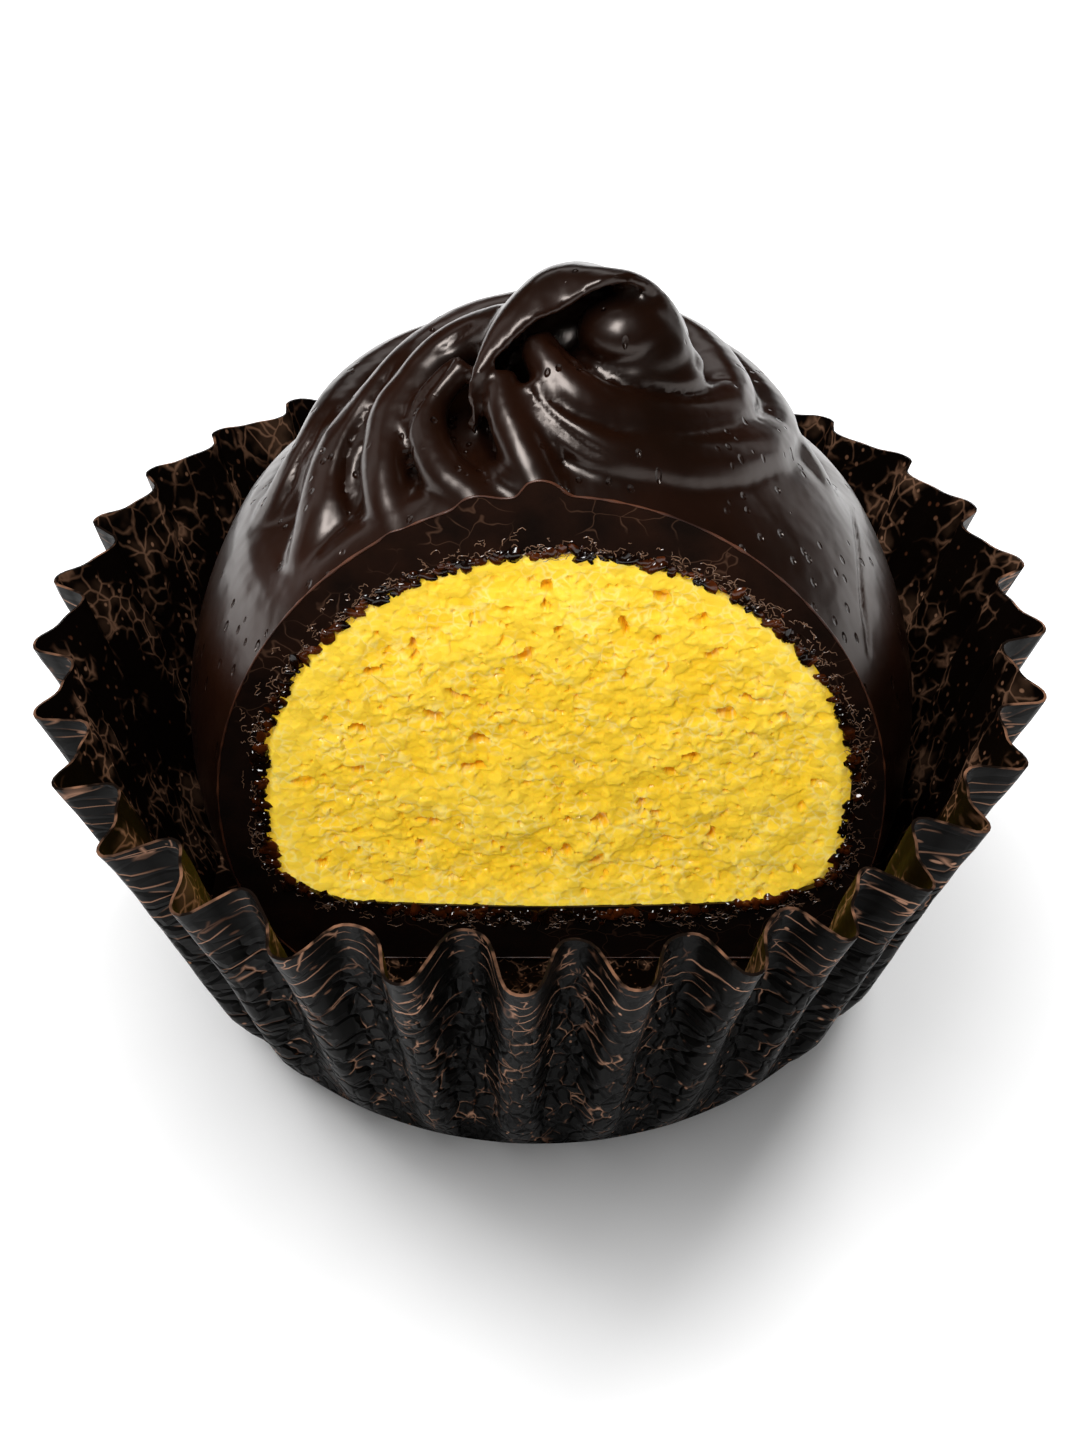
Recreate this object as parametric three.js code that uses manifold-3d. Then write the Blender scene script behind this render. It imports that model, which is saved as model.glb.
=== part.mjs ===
// A hand-dipped chocolate cream, cut straight down through its front third, in a fluted paper case.
// Units are millimetres, +Z is up, and the origin is the middle of the paper case's underside.
// The cut faces -Y. Three solids: the pleated case, the chocolate coat with its swirl, the cream.

import * as THREE from 'three';
import { mergeVertices } from 'three/addons/utils/BufferGeometryUtils.js';
import Module from 'manifold-3d';

const wasm = await Module();
wasm.setup();

const DEGREE = Math.PI / 180;

// ---- driving dimensions ----

// paper case: a flat round floor, and a wall that flares and pleats more and more towards the rim
const CASE_HEIGHT = 17;
const PAPER = 0.3;
const FLUTES = 30;
const FIRST_FOLD = 182.6 * DEGREE;
const STEPS_PER_FLUTE = 6;
const FOLD_CROWDING = 1.9 * DEGREE;
const CROWDING_TURN = 281 * DEGREE;
const FOLD_UNEVENNESS = 0.28;
const RIM_WAVE = 0.3;

// the folds are deeper at the front than at the back, and those at the sides lean to the front
const FOLD_DEPTH = 1.95;
const FRONT_FOLDS_DEEPER = 1.25;
const FOLD_LEAN = 0.6;
const FOLD_LEAN_SHIFT = 0.8;

// the wall of the case: height, radius of the outer folds, and the share of the rim's fold depth
const WALL = [
  [0, 17.0, 0], [0.7, 17.4, 0.1], [3, 18.85, 0.36], [9, 21.0, 0.62], [17, 24.0, 1],
];

// the sweet as a whole, in its own frame: it stands on z = 0 and the cut is the plane y = CUT_Y
const SWEET_FORWARD = -0.42;
const SWEET_LIFT = 0.4;
const CUT_Y = -4.83;
const COAT_GAP = 0.3;

// chocolate coat without its swirl: a dome, a little shallower than wide
const COAT_RADIUS = 17.9;
const COAT_DEPTH = 0.9;
const COAT_FOOT_RADIUS = 15.0;
const COAT_WIDEST_AT = 10.3;
const COAT_HEIGHT = 31.5;
const COAT_ROUNDNESS = 1.9;
const COAT_CENTRE = new THREE.Vector2(0.6, 2.5);

// cream inside: flat underneath, with a rounded bottom edge and a domed top
const CREAM_RADIUS = 16.2;
const CREAM_WIDEST_AT = 11.8;
const CREAM_TOP = 28.0;
const CREAM_BOTTOM = 3.0;
const CREAM_ROUNDNESS = 1.96;
const CREAM_FLATNESS = 6.3;
const CREAM_CORNER = 3.2;
const CREAM_CENTRE = new THREE.Vector2(0.84, 2.5);

const DOME_SEGMENTS = 40;
const DOME_ROWS = 12;
const ROLL_SIDES = 8;
const STEPS_PER_POINT = 2;

// The swirl: soft rolls of chocolate laid on the dome. Each row is a point on the middle of a
// roll, x, y, z, and the roll's half thickness there.
const ROLLS = {
  upper_turn: [
    [-0.2, 1.1, 33, 0.8], [0.3, 0.3, 32.5, 1], [1, -0.4, 31.9, 1.15], [1.9, -1, 31.3, 1.25],
    [3, -1.1, 30.6, 1.4], [4.4, -1, 30.1, 1.5], [6.5, 0.1, 29.3, 1.6], [8.1, 2, 28.4, 1.7],
    [8, 4.4, 28.1, 1.8], [6.4, 7.4, 28, 1.9], [2.6, 9, 28.4, 1.9], [-1.6, 8, 28.9, 1.8],
    [-4.8, 5.4, 28.8, 1.8], [-6.8, 3.4, 27.9, 1.6], [-7.8, 2.5, 26.9, 1.7], [-8.5, 1.7, 26.3, 1.7],
    [-9, 0.5, 25.3, 1.8], [-9.2, -0.8, 24.5, 1.9], [-9.7, -2.3, 23.1, 1.8], [-10.2, -3.7, 21.5, 1.5],
    [-10.6, -5.4, 20, 1.3],
  ],
  lower_turn: [
    [-0.3, -0.7, 32, 0.7], [0.3, -1.5, 31.2, 0.9], [1.1, -2, 30.6, 1.1], [2.1, -2.4, 30, 1.3],
    [3.3, -2.5, 29.4, 1.5], [4.8, -2.2, 28.8, 1.7], [6.4, -1.7, 28.1, 1.9], [8.6, -0.1, 27.2, 1.9],
    [10.1, 2.4, 26.2, 1.8], [9.8, 5.6, 25.7, 2], [6.4, 9.9, 25.6, 2.3], [1.4, 11.4, 25.6, 2.4],
    [-4, 10.3, 25.6, 2.3], [-8, 6.8, 25.6, 2.1], [-9.8, 3.2, 24.8, 1.9], [-11.4, 2, 22.1, 2],
    [-12.9, 1.9, 19.4, 2], [-14.1, 1.1, 16.7, 1.8], [-14.8, -0.3, 14.5, 1.4],
  ],
  left_fold: [
    [-1.3, 2.8, 32.6, 1.1], [-3.1, 3.5, 31.3, 1.2], [-4.4, 3.2, 30.5, 1.2], [-5.6, 2, 29.5, 1.25],
    [-6.3, 1.1, 28.9, 1.3], [-6.6, -0.1, 28.2, 1.3], [-6.7, -1.3, 27.6, 1.3], [-6.5, -2.7, 26.8, 1.3],
    [-6.1, -4.2, 26.1, 1.1], [-5.8, -5.6, 25.3, 1],
  ],
  hollow_fold: [
    [-3.2, 1.2, 31.7, 0.7], [-4.2, 0.7, 30.8, 0.75], [-4.8, 0.1, 30.1, 0.85],
    [-4.9, -0.9, 29.5, 0.95], [-4.6, -2, 29, 1], [-4, -3, 28.5, 1.1], [-2.9, -3.9, 28, 1.2],
    [-1.9, -5.2, 27.5, 1.1],
  ],
  front_pillar: [
    [-1.7, -0.1, 32, 0.75], [-1.5, -1.3, 31.2, 0.9], [-1, -2.4, 30.4, 1.05], [-0.4, -3.4, 29.5, 1.15],
    [0.1, -4.2, 28.8, 1.1], [0.4, -5.6, 27.9, 1.1],
  ],
  tip_right: [
    [5.3, 2, 34, 0.5], [5.7, 1.9, 33.2, 0.7], [5.8, 1.8, 32.3, 0.9], [6.1, 1.5, 31.3, 1.2],
  ],
  right_fold: [
    [9.8, 4.1, 26.3, 1.6], [10.6, 3.6, 25.5, 1.6], [11.4, 2.9, 24.7, 1.6], [12.1, 2.1, 23.6, 1.7],
    [12.5, 0.8, 22.6, 1.7], [12.8, -1, 21.4, 1.6], [13.1, -2.5, 19.8, 1.5],
  ],
};

// The curled tip: a thin cowl over a hollow. Points along its front lip from left to right, then
// along its top outline just behind.
const HOOD_LIP = [
  [-3, -1.7, 30], [-2.86, -1.18, 31.76], [-2.11, -0.68, 32.99], [-0.81, 0.02, 34.12],
  [0.28, 0.52, 34.67], [1.28, 0.92, 34.92], [2.66, 1.22, 35.89], [4.04, 1.42, 36.07],
  [5.53, 1.82, 34.6], [6.29, 2.02, 33.14], [6.45, 2.12, 32.5],
];
const HOOD_TOP = [
  [-3.1, -1.3, 30], [-2.96, -0.68, 31.53], [-2.56, 0.42, 32.98], [-1.56, 1.72, 34.26],
  [-0.25, 2.62, 35.22], [1.03, 3.02, 35.59], [2.61, 3.17, 35.44], [4.2, 3.12, 34.76],
  [5.65, 3.12, 33.52], [6.41, 3.12, 32.16], [6.56, 3.12, 31.53],
];
const HOOD_BEHIND = new THREE.Vector3(0.1, 1.5, -1);
const HOOD_FOOT = new THREE.Vector3(0.2, 2.2, -3.6);
const HOOD_INWARDS = new THREE.Vector3(2, 2.5, 31);
const HOOD_THICKNESS = 0.6;

// Rounded lumps: x, y, z of the middle, then the half size along X, Y and Z.
const LUMPS = {
  tip_back: [2, 4.6, 30.2, 4.2, 2.4, 3],
  tip_nub: [3.95, 1.8, 32.9, 2.3, 1.9, 1.8],
  tip_side: [4.9, 1.7, 31.9, 1.9, 2, 2],
  tip_collar: [4.2, 1.5, 30.9, 3.3, 2.5, 1.8],
};

// ---- solids ----

function toSolid(geometry) {
  const bare = geometry.clone();
  bare.deleteAttribute('normal');
  bare.deleteAttribute('uv');
  const merged = mergeVertices(bare, 1e-4);
  const corners = merged.index.array;
  const faces = [];
  for (let i = 0; i < corners.length; i += 3) {
    const [a, b, c] = corners.slice(i, i + 3);
    if (a !== b && b !== c && c !== a) faces.push(a, b, c);
  }
  return new wasm.Manifold(new wasm.Mesh({
    numProp: 3,
    vertProperties: merged.attributes.position.array,
    triVerts: Uint32Array.from(faces),
  }));
}

function toGeometry(solid) {
  const { vertProperties, triVerts } = solid.getMesh();
  const geometry = new THREE.BufferGeometry();
  geometry.setAttribute('position', new THREE.BufferAttribute(vertProperties, 3));
  geometry.setIndex(new THREE.BufferAttribute(triVerts, 1));
  geometry.computeVertexNormals();
  return geometry;
}

// everything in front of the cut, taken away by the knife
function cutAway() {
  const size = 100;
  const block = new THREE.BoxGeometry(size, size, size);
  block.translate(0, CUT_Y - size / 2, 0);
  return toSolid(block);
}

// ---- paper case ----

function foldCrowding(angle) {
  return FOLD_CROWDING * Math.cos(2 * (angle - CROWDING_TURN));
}

function foldUnevenness(angle) {
  return FOLD_UNEVENNESS * (Math.sin(2 * angle + 1.1) + 0.6 * Math.sin(5 * angle + 0.4));
}

// the radius of the outer folds and the share of the fold depth at a height
function wallAt(height) {
  const above = Math.max(1, WALL.findIndex(([z]) => z >= height - 1e-6));
  const [z0, r0, d0] = WALL[above - 1];
  const [z1, r1, d1] = WALL[above];
  const t = (height - z0) / (z1 - z0);
  return [THREE.MathUtils.lerp(r0, r1, t), THREE.MathUtils.lerp(d0, d1, t)];
}

// the short flank of a fold at the side is its front one
function leaning(turn, side) {
  const lean = FOLD_LEAN * THREE.MathUtils.clamp(1.6 * side, -1, 1);
  const shift = Math.sign(lean) * FOLD_LEAN_SHIFT;
  return turn + Math.abs(lean) * (Math.sin(turn + shift) - Math.sin(shift));
}

// where a point of the plain round wall goes when the paper is pleated; a point on the inside is
// one paper thickness nearer the middle
function pleat(x, y, z, inwards) {
  const angle = Math.atan2(y, x);
  const rise = THREE.MathUtils.clamp(z / CASE_HEIGHT, 0, 1);
  const [outer, share] = wallAt(z);
  const depth = (FOLD_DEPTH - FRONT_FOLDS_DEEPER * Math.sin(angle)) * share;
  const wave = Math.cos(leaning(FLUTES * (angle - FIRST_FOLD), Math.cos(angle)));
  const radius = outer - inwards - (depth / 2) * (1 - wave) + foldUnevenness(angle) * rise;
  const turned = angle + foldCrowding(angle) * rise;
  const lift = RIM_WAVE * rise * rise * Math.sin(3 * angle + 0.7);
  return [radius * Math.cos(turned), radius * Math.sin(turned), z + lift];
}

function paperCaseGeometry() {
  const outside = WALL.map(([z, r]) => new THREE.Vector2(r, z));
  const inside = WALL.map(([z, r]) => new THREE.Vector2(r - PAPER, Math.max(z, PAPER))).reverse();
  const profile = [new THREE.Vector2(0, 0), ...outside, ...inside, new THREE.Vector2(0, PAPER)];
  const geometry = new THREE.LatheGeometry(profile, FLUTES * STEPS_PER_FLUTE, FIRST_FOLD);
  geometry.rotateX(Math.PI / 2);
  geometry.rotateZ(Math.PI / 2);
  const at = geometry.attributes.position;
  for (let i = 0; i < at.count; i += 1) {
    const isInside = i % profile.length > WALL.length;
    if (Math.hypot(at.getX(i), at.getY(i)) > 1) {
      at.setXYZ(i, ...pleat(at.getX(i), at.getY(i), at.getZ(i), isInside ? PAPER : 0));
    }
  }
  return toGeometry(toSolid(geometry));
}

// ---- chocolate and cream ----

// A dome of revolution: radius(z) from bottom to top, squeezed front to back about its centre.
function domeGeometry(bottom, top, radiusAt, centre) {
  const profile = [new THREE.Vector2(0, bottom)];
  for (let row = 0; row < DOME_ROWS; row += 1) {
    const rise = Math.sin((row / DOME_ROWS) * Math.PI / 2);
    const z = bottom + (top - bottom) * rise;
    profile.push(new THREE.Vector2(Math.max(radiusAt(z), 0.01), z));
  }
  profile.push(new THREE.Vector2(0, top));
  const geometry = new THREE.LatheGeometry(profile, DOME_SEGMENTS);
  geometry.rotateX(Math.PI / 2);
  geometry.scale(1, COAT_DEPTH, 1);
  geometry.translate(centre.x, centre.y, 0);
  return geometry;
}

function coatRadiusAt(z) {
  if (z < COAT_WIDEST_AT) {
    const drop = (COAT_WIDEST_AT - z) / COAT_WIDEST_AT;
    return COAT_RADIUS - (COAT_RADIUS - COAT_FOOT_RADIUS) * Math.pow(drop, 2.5);
  }
  const rise = (z - COAT_WIDEST_AT) / (COAT_HEIGHT - COAT_WIDEST_AT);
  return COAT_RADIUS * Math.pow(1 - Math.pow(rise, COAT_ROUNDNESS), 1 / COAT_ROUNDNESS);
}

function creamRadiusAt(z, spare) {
  if (z < CREAM_WIDEST_AT) {
    const drop = (CREAM_WIDEST_AT - z) / (CREAM_WIDEST_AT - CREAM_BOTTOM + spare);
    return (CREAM_RADIUS + spare) * Math.pow(1 - Math.pow(drop, CREAM_FLATNESS), 1 / CREAM_CORNER);
  }
  const rise = (z - CREAM_WIDEST_AT) / (CREAM_TOP + spare - CREAM_WIDEST_AT);
  return (CREAM_RADIUS + spare) * Math.pow(1 - Math.pow(rise, CREAM_ROUNDNESS), 1 / CREAM_ROUNDNESS);
}

// a size in column of the route, read between its points
function between(route, column, position) {
  const first = Math.min(Math.floor(position), route.length - 2);
  return THREE.MathUtils.lerp(route[first][column], route[first + 1][column], position - first);
}

// a cylinder one unit long is laid along the route, and each ring of it gets the route's own size
function rollSolid(route) {
  const points = route.map(([x, y, z]) => new THREE.Vector3(x, y, z));
  const path = new THREE.CatmullRomCurve3(points);
  const steps = STEPS_PER_POINT * (route.length - 1);
  const frames = path.computeFrenetFrames(steps);
  const geometry = new THREE.CylinderGeometry(1, 1, 1, ROLL_SIDES, steps);
  const at = geometry.attributes.position;
  for (let i = 0; i < at.count; i += 1) {
    const step = Math.round((0.5 - at.getY(i)) * steps);
    const t = path.getUtoTmapping(step / steps);
    const thick = between(route, 3, t * (route.length - 1));
    const place = path.getPoint(t);
    place.addScaledVector(frames.normals[step], at.getX(i) * thick);
    place.addScaledVector(frames.binormals[step], at.getZ(i) * thick);
    at.setXYZ(i, place.x, place.y, place.z);
  }
  return toSolid(geometry);
}

// The cowl is a box bent to shape: along X it follows the lip, along Y it goes from the lip over
// the top and down the back, and along Z it has the cowl's thickness.
function hoodSolid() {
  const across = 4;
  const stations = HOOD_LIP.length - 1;
  const geometry = new THREE.BoxGeometry(stations, across, 1, stations, across, 1);
  const at = geometry.attributes.position;
  for (let i = 0; i < at.count; i += 1) {
    const station = Math.round(at.getX(i) + stations / 2);
    const row = Math.round(at.getY(i) + across / 2);
    const lip = new THREE.Vector3(...HOOD_LIP[station]);
    const top = new THREE.Vector3(...HOOD_TOP[station]);
    const middle = new THREE.Vector3().addVectors(lip, top).multiplyScalar(0.5);
    const down = [lip, middle, top, top.clone().add(HOOD_BEHIND), top.clone().add(HOOD_FOOT)];
    const place = down[row];
    if (at.getZ(i) < 0) {
      const inwards = HOOD_INWARDS.clone().sub(place).normalize();
      place.addScaledVector(inwards, HOOD_THICKNESS);
    }
    at.setXYZ(i, place.x, place.y, place.z);
  }
  return toSolid(geometry);
}

function lumpSolid([x, y, z, sx, sy, sz]) {
  const geometry = new THREE.SphereGeometry(1, 12, 8);
  geometry.scale(sx, sy, sz);
  geometry.translate(x, y, z);
  return toSolid(geometry);
}

function creamGeometry(spare) {
  return domeGeometry(CREAM_BOTTOM - spare, CREAM_TOP + spare, (z) => creamRadiusAt(z, spare), CREAM_CENTRE);
}

function chocolateCoatGeometry() {
  let coat = toSolid(domeGeometry(0, COAT_HEIGHT, coatRadiusAt, COAT_CENTRE));
  for (const route of Object.values(ROLLS)) coat = coat.add(rollSolid(route));
  for (const lump of Object.values(LUMPS)) coat = coat.add(lumpSolid(lump));
  coat = coat.add(hoodSolid());
  return toGeometry(coat.subtract(toSolid(creamGeometry(COAT_GAP))).subtract(cutAway()));
}

function creamFillingGeometry() {
  return toGeometry(toSolid(creamGeometry(0)).subtract(cutAway()));
}

// ---- the object ----

function part(name, geometry, colour, roughness) {
  const material = new THREE.MeshStandardMaterial({ color: colour, roughness, metalness: 0 });
  const mesh = new THREE.Mesh(geometry, material);
  mesh.name = name;
  return mesh;
}

const sweet = new THREE.Group();
sweet.position.set(0, SWEET_FORWARD, SWEET_LIFT);
sweet.add(part('chocolate_coat', chocolateCoatGeometry(), 0x24140e, 0.35));
sweet.add(part('cream_filling', creamFillingGeometry(), 0xf7cf3a, 0.6));

const chocolateCream = new THREE.Group();
chocolateCream.add(part('paper_case', paperCaseGeometry(), 0x1b1817, 0.55));
chocolateCream.add(sweet);

export default chocolateCream;
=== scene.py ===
"""A hand-dipped chocolate cream with a curled swirl, cut open, in its black pleated paper case.

Everything is modelled in millimetres on the bench and brought to metres at the end of each piece.
+Z is up, the cut faces -Y, and the origin is the middle of the case's underside.
"""

import math
import random

import bmesh
import bpy
from mathutils import Matrix, Vector, noise
from mathutils.kdtree import KDTree


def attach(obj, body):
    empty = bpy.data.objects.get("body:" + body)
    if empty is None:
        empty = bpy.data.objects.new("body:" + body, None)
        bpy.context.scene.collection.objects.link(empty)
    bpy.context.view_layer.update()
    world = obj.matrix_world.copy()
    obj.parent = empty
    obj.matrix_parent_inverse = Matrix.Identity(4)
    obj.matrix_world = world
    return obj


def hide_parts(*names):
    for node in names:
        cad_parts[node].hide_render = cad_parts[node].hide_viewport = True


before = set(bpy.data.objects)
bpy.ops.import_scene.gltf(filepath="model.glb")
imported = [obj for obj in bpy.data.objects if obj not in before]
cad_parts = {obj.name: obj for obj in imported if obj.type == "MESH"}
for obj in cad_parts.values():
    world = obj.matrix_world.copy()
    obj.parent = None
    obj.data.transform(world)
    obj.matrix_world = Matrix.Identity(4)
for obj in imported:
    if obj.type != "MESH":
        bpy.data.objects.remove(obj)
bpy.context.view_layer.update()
bpy.ops.object.select_all(action="DESELECT")

MM = 0.001
DEGREE = math.pi / 180

# ---- sizes: lengths in millimetres, the outlines the same as the solids' ----

CASE_HEIGHT = 17.0
CASE_FLOOR_RADIUS = 17.0
FLUTES = 30
FIRST_FOLD = 182.6 * DEGREE
FOLD_CROWDING = 1.9 * DEGREE
CROWDING_TURN = 281 * DEGREE
FOLD_UNEVENNESS = 0.28
FOLD_DEPTH = 1.95
FRONT_FOLDS_DEEPER = 1.25
FOLD_SQUARENESS = 0.5
FOLD_LEAN = 0.8
FOLD_LEAN_SHIFT = 0.8
RIM_WAVE = 0.3
PAPER = 0.14

# behind the sweet the folds get deeper where the sine of their angle goes up through these two
HIDDEN_FOLDS_DEEPER = 0.9
HIDDEN_FOLDS_FROM = (0.80, 0.95)

# the paper isn't quite even: crumpled in and out by millimetres, and twisted by radians
CRUMPLE = 0.16
TWIST = 0.006

# the paper is drawn from a flat disc this much smaller than the floor
FLOOR_CORNER = 4
COLUMNS_TO_A_FOLD = 20
WALL_ROWS = 24

# copper lines round the outside; the wandering brings each down by 1.7 mm or so
COPPER_LINES = (18.0, 17.1, 16.2, 15.2, 14.0)
COPPER_LINE_HALF_WIDTH = 0.06

# the paper laid flat is half as long again as the way round the case
SHEET_RADIUS = 32.0

# the wall of the case: height, radius of the outer folds, and how deep the folds are there
# compared with the rim
WALL = [
    (0.0, 17.0, 0.0), (0.7, 17.4, 0.10), (1.5, 18.0, 0.22), (3.0, 18.85, 0.36), (6.0, 19.95, 0.5),
    (10.0, 21.3, 0.66), (14.0, 22.75, 0.86), (17.0, 24.0, 1.0),
]

SWEET_FORWARD = -0.42
SWEET_LIFT = 0.4
CUT_Y = -4.83

COAT_RADIUS = 17.9
COAT_DEPTH = 0.9
COAT_FOOT_RADIUS = 15.0
COAT_WIDEST_AT = 10.3
COAT_HEIGHT = 31.5
COAT_ROUNDNESS = 1.9
COAT_CENTRE = (0.6, 2.5)
SWIRL_SEAT = 1.3
BURR_THICKNESS = 0.12
SEAM_CRUMBS = 560
SEAM_CURLS = 560
CURL_THICKNESS = 0.034
LUMPS_TO_MM = 1.7
LUMP_DEPTH = 0.085

CREAM_RADIUS = 16.2
CREAM_WIDEST_AT = 11.8
CREAM_TOP = 28.0
CREAM_BOTTOM = 3.0
CREAM_ROUNDNESS = 1.96
CREAM_FLATNESS = 6.3
CREAM_CORNER = 3.2
CREAM_CENTRE = (0.84, 2.5)

# points up the domes and round them
DOME_ROWS = 40
COAT_STEPS = 128
CREAM_STEPS = 120

# the coat runs together into one skin of this grain, smoothed before and after the strokes
COAT_GRAIN = 0.22
SMOOTH_FIRST = 4
SMOOTH_LAST = 2

# the dome is lower under the swirl: it sinks between these two heights and these two places
# behind the cut, but not at the front right, past these two places each way
SEAT_HEIGHTS = (21.5, 26.0)
SEAT_BACKWARDS = (CUT_Y + 0.6, CUT_Y + 3.0)
SEAT_ENDS_RIGHT = (4.0, 8.0)
SEAT_ENDS_FRONT = (1.0, 5.0)

# the burr is left on edges at least this far outside the cream
BURR_FROM_CREAM = 0.6

# points round the cream on the cut face, and how many of them to each side give its direction
OUTLINE_GAP = 0.05
OUTLINE_SIDE = 12
CREAM_FACE_MIDDLE = 13.0

# crumbs at the seam: spread from it, size, and how much smaller those far from it are
CRUMB_SPREAD = 0.28
CRUMB_INSET = 0.16
CRUMB_SIZES = (0.11, 0.32)
CRUMB_DEPTHS = (-0.08, 0.12)
CRUMB_FAR = 0.35
FAR_CRUMBS_SMALLER = 0.55
CRUMB_ROUGHNESS = 0.45

# curls at the seam: spread from it, size, how far each one turns, and how far it stands out
CURL_SPREAD = 0.42
CURL_SIZES = (0.10, 0.34)
CURL_TURNS = (0.8, 3.6)
CURL_STEPS = 9
CURL_LONGER = 1.3
CURL_UNEVENNESS = 1.1
CURL_GAP = 0.01
CURL_STANDS_OUT = 0.03

# the cream's crumbly face is a grid of this size, calmer and sunk a little along the border
FACE_WIDTH = 30.4
FACE_HEIGHT = 25.0
FACE_TOP = 26.4
FACE_STEP = 0.095
FACE_MARGIN = 0.6
FACE_DEEPEST = 1.3
CALM_WIDTH = 2.4
CALMEST = 0.3
BORDER_WIDTH = 0.45
BORDER_SLOPE = 0.6
SLAB_DEPTH = 24

# holes and pores in the cream: how many to the millimetre, a shift, the noise at which one
# starts and is full, and its depth
CREAM_HOLES = [(1.15, 11, 0.48, 0.62, 0.55), (3.1, 29, 0.46, 0.64, 0.22)]

# soft rolls of chocolate on the dome: x, y, z of the middle, and the half thickness there
ROLLS = {
    "upper_turn": [
        (-0.2, 1.1, 33.0, 0.8), (0.3, 0.3, 32.5, 1.0), (1.0, -0.4, 31.9, 1.15),
        (1.9, -1.0, 31.3, 1.25), (3.0, -1.1, 30.6, 1.4), (4.4, -1.0, 30.1, 1.5),
        (6.5, 0.1, 29.3, 1.6), (8.1, 2.0, 28.4, 1.7), (8.0, 4.4, 28.1, 1.8), (6.4, 7.4, 28.0, 1.9),
        (2.6, 9.0, 28.4, 1.9), (-1.6, 8.0, 28.9, 1.8), (-4.8, 5.4, 28.8, 1.8),
        (-6.8, 3.4, 27.9, 1.6), (-7.8, 2.5, 26.9, 1.7), (-8.5, 1.7, 26.3, 1.7),
        (-9.0, 0.5, 25.3, 1.8), (-9.2, -0.8, 24.5, 1.9), (-9.7, -2.3, 23.1, 1.8),
        (-10.2, -3.7, 21.5, 1.5), (-10.6, -5.4, 20.0, 1.3),
    ],
    "lower_turn": [
        (-0.3, -0.7, 32.0, 0.7), (0.3, -1.5, 31.2, 0.9), (1.1, -2.0, 30.6, 1.1),
        (2.1, -2.4, 30.0, 1.3), (3.3, -2.5, 29.4, 1.5), (4.8, -2.2, 28.8, 1.7),
        (6.4, -1.7, 28.1, 1.9), (8.6, -0.1, 27.2, 1.9), (10.1, 2.4, 26.2, 1.8),
        (9.8, 5.6, 25.7, 2.0), (6.4, 9.9, 25.6, 2.3), (1.4, 11.4, 25.6, 2.4),
        (-4.0, 10.3, 25.6, 2.3), (-8.0, 6.8, 25.6, 2.1), (-9.8, 3.2, 24.8, 1.9),
        (-11.4, 2.0, 22.1, 2.0), (-12.9, 1.9, 19.4, 2.0), (-14.1, 1.1, 16.7, 1.8),
        (-14.8, -0.3, 14.5, 1.4),
    ],
    "left_fold": [
        (-1.3, 2.8, 32.6, 1.1), (-3.1, 3.5, 31.3, 1.2), (-4.4, 3.2, 30.5, 1.2),
        (-5.6, 2.0, 29.5, 1.25), (-6.3, 1.1, 28.9, 1.3), (-6.6, -0.1, 28.2, 1.3),
        (-6.7, -1.3, 27.6, 1.3), (-6.5, -2.7, 26.8, 1.3), (-6.1, -4.2, 26.1, 1.1),
        (-5.8, -5.6, 25.3, 1.0),
    ],
    "hollow_fold": [
        (-3.2, 1.2, 31.7, 0.7), (-4.2, 0.7, 30.8, 0.75), (-4.8, 0.1, 30.1, 0.85),
        (-4.9, -0.9, 29.5, 0.95), (-4.6, -2.0, 29.0, 1.0), (-4.0, -3.0, 28.5, 1.1),
        (-2.9, -3.9, 28.0, 1.2), (-1.9, -5.2, 27.5, 1.1),
    ],
    "front_pillar": [
        (-1.7, -0.1, 32.0, 0.75), (-1.5, -1.3, 31.2, 0.9), (-1.0, -2.4, 30.4, 1.05),
        (-0.4, -3.4, 29.5, 1.15), (0.1, -4.2, 28.8, 1.1), (0.4, -5.6, 27.9, 1.1),
    ],
    "tip_right": [
        (5.3, 2.0, 34.0, 0.5), (5.7, 1.9, 33.2, 0.7), (5.8, 1.8, 32.3, 0.9), (6.1, 1.5, 31.3, 1.2),
    ],
    "right_fold": [
        (9.8, 4.1, 26.3, 1.6), (10.6, 3.6, 25.5, 1.6), (11.4, 2.9, 24.7, 1.6),
        (12.1, 2.1, 23.6, 1.7), (12.5, 0.8, 22.6, 1.7), (12.8, -1.0, 21.4, 1.6),
        (13.1, -2.5, 19.8, 1.5),
    ],
}

# the curled tip is a thin cowl: points along its front lip, then along its top outline behind
HOOD_LIP = [
    (-3.0, -1.7, 30.0), (-2.86, -1.18, 31.76), (-2.63, -0.98, 32.56), (-2.11, -0.68, 32.99),
    (-1.46, -0.28, 33.55), (-0.81, 0.02, 34.12), (-0.24, 0.32, 34.49), (0.28, 0.52, 34.67),
    (0.8, 0.72, 34.69), (1.28, 0.92, 34.92), (1.92, 1.02, 35.46), (2.66, 1.22, 35.89),
    (3.39, 1.32, 36.13), (4.04, 1.42, 36.07), (4.84, 1.62, 35.49), (5.53, 1.82, 34.6),
    (5.95, 1.92, 33.87), (6.29, 2.02, 33.14), (6.45, 2.12, 32.5),
]
HOOD_TOP = [
    (-3.1, -1.3, 30.0), (-2.96, -0.68, 31.53), (-2.78, -0.18, 32.34), (-2.56, 0.42, 32.98),
    (-2.13, 1.12, 33.66), (-1.56, 1.72, 34.26), (-0.9, 2.32, 34.75), (-0.25, 2.62, 35.22),
    (0.41, 2.87, 35.48), (1.03, 3.02, 35.59), (1.73, 3.12, 35.63), (2.61, 3.17, 35.44),
    (3.4, 3.12, 35.12), (4.2, 3.12, 34.76), (5.01, 3.12, 34.19), (5.65, 3.12, 33.52),
    (6.07, 3.12, 32.84), (6.41, 3.12, 32.16), (6.56, 3.12, 31.53),
]
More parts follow.
